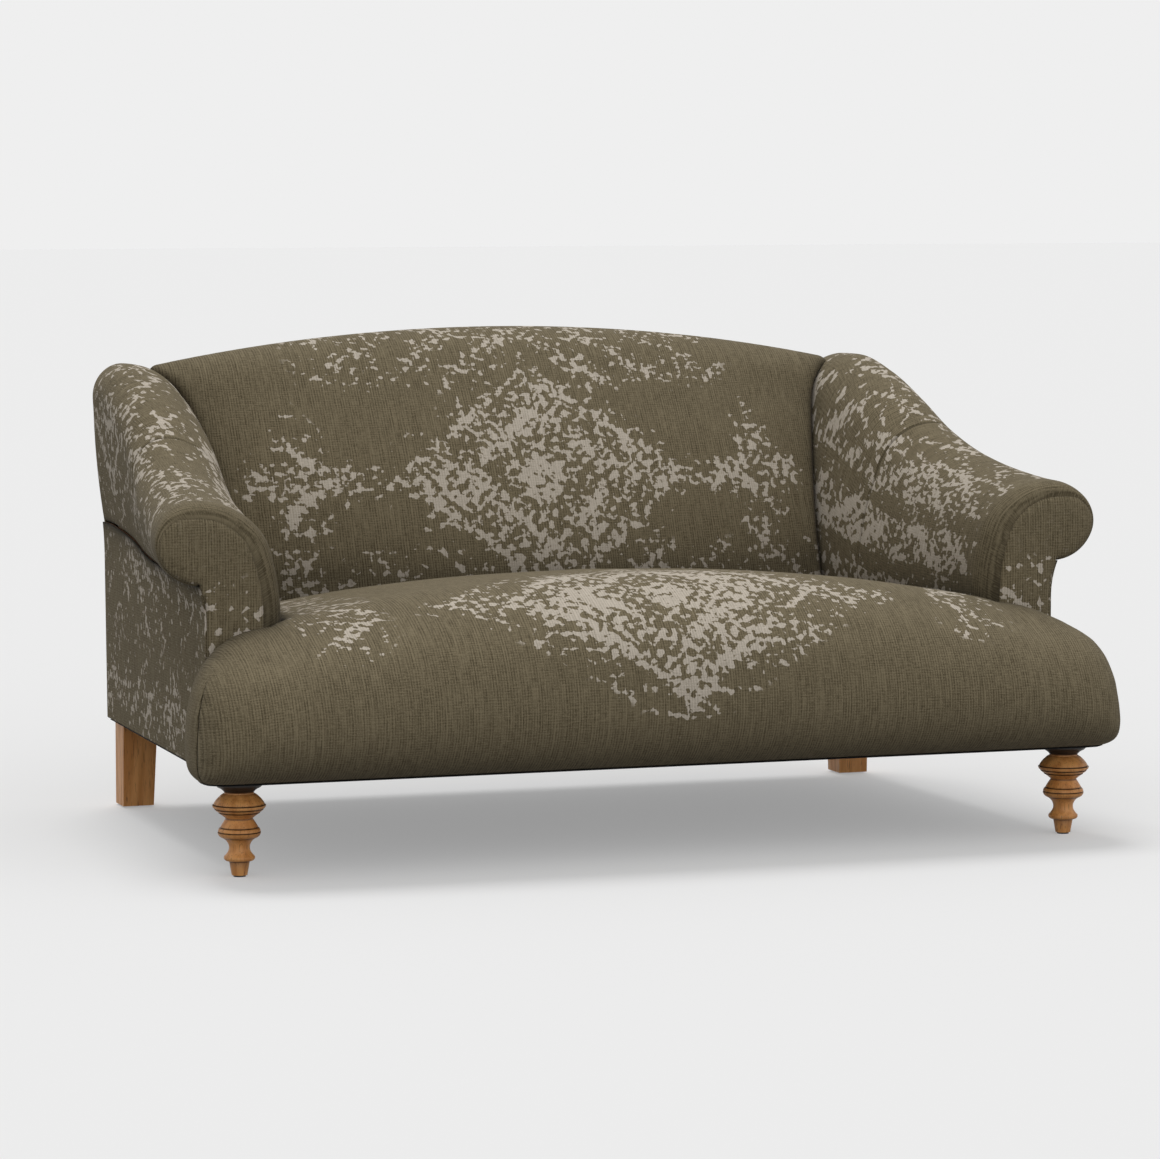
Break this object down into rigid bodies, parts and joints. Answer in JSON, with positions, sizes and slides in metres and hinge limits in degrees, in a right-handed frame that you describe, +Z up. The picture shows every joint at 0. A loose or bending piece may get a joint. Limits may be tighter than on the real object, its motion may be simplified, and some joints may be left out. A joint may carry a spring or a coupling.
{
  "type": "sofa",
  "caption": "Upholstered sofa with swept rolled arms, an arched back and a fixed bull-nosed seat, on turned front legs and square rear legs.",
  "frame": {"origin": "middle of the whole sofa's footprint, on the floor", "axes": "+X to the right seen from the front, +Y from the front of the seat to the back, +Z up"},
  "size_m": [1.83, 1.15, 0.933],
  "materials": {
    "turned_oak": "satin varnish",
    "beech": "sawn, unfinished",
    "plywood": "sawn, unfinished",
    "hardboard": "smooth, unfinished",
    "cover_cloth": "woven, with a worn pale print",
    "hessian": "open weave",
    "webbing": "woven",
    "dust_cloth": "non-woven, black",
    "foam": "open-cell polyurethane foam",
    "spring_steel": "oiled",
    "zinc_steel": "zinc plated",
    "nylon": "moulded"
  },
  "bodies": {
    "root": {"back_foam": "foam", "back_hessian": "hessian", "back_ribs": "plywood", "back_top_rail": "beech", "back_webbing": "webbing", "corner_blocks": "beech", "cross_rails": "beech", "dust_cover": "dust_cloth", "front_left_leg": "turned_oak", "front_rail": "beech", "front_right_leg": "turned_oak", "inside_back_cover": "cover_cloth", "left_arm_cover": "cover_cloth", "left_arm_facing_board": "plywood", "left_arm_facing_cover": "cover_cloth", "left_arm_foam": "foam", "left_arm_hessian": "hessian", "left_arm_rear_post": "beech", "left_arm_stuff_rail": "beech", "left_arm_top_rail": "beech", "left_outside_arm_board": "hardboard", "left_outside_arm_cover": "cover_cloth", "left_seat_border": "cover_cloth", "left_side_rail": "beech", "leg_blocks": "beech", "leg_bolts": "zinc_steel", "leg_glides": "nylon", "leg_plates": "zinc_steel", "nose_foam": "foam", "outside_back_cover": "cover_cloth", "plate_screws": "zinc_steel", "rear_left_leg": "turned_oak", "rear_rail": "beech", "rear_right_leg": "turned_oak", "right_arm_cover": "cover_cloth", "right_arm_facing_board": "plywood", "right_arm_facing_cover": "cover_cloth", "right_arm_foam": "foam", "right_arm_hessian": "hessian", "right_arm_rear_post": "beech", "right_arm_stuff_rail": "beech", "right_arm_top_rail": "beech", "right_outside_arm_board": "hardboard", "right_outside_arm_cover": "cover_cloth", "right_seat_border": "cover_cloth", "right_side_rail": "beech", "seat_cover": "cover_cloth", "seat_foam": "foam", "seat_hessian": "hessian", "seat_springs": "spring_steel", "spring_clips": "spring_steel", "spring_rail": "beech", "spring_tie_wires": "spring_steel"}
  },
  "joints": []
}
